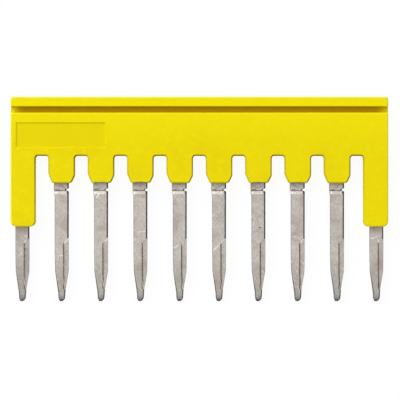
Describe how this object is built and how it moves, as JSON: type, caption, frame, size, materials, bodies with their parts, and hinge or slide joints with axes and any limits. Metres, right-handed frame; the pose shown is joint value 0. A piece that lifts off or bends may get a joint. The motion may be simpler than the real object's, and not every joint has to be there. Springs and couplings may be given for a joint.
{
  "type": "terminal block jumper bar",
  "caption": "Flat plug-in jumper for rail terminal blocks: a moulded bar with a screwdriver groove and a bare marking field, holding a stamped comb of split, pointed spring pins.",
  "frame": {"origin": "under the middle of the bar's outline, on its flat back face", "axes": "+X along the row of pins, +Y towards the push edge and away from the pin tips, +Z from the back face to the front face with the groove and the marking field"},
  "size_m": [0.0584, 0.0316, 0.003],
  "materials": {
    "yellow_moulding": "satin moulded yellow",
    "tin_plate": "tin-plated copper sheet, satin, warm grey"
  },
  "bodies": {
    "root": {"insulating_body": "yellow_moulding", "contact_comb": "tin_plate"}
  },
  "joints": []
}
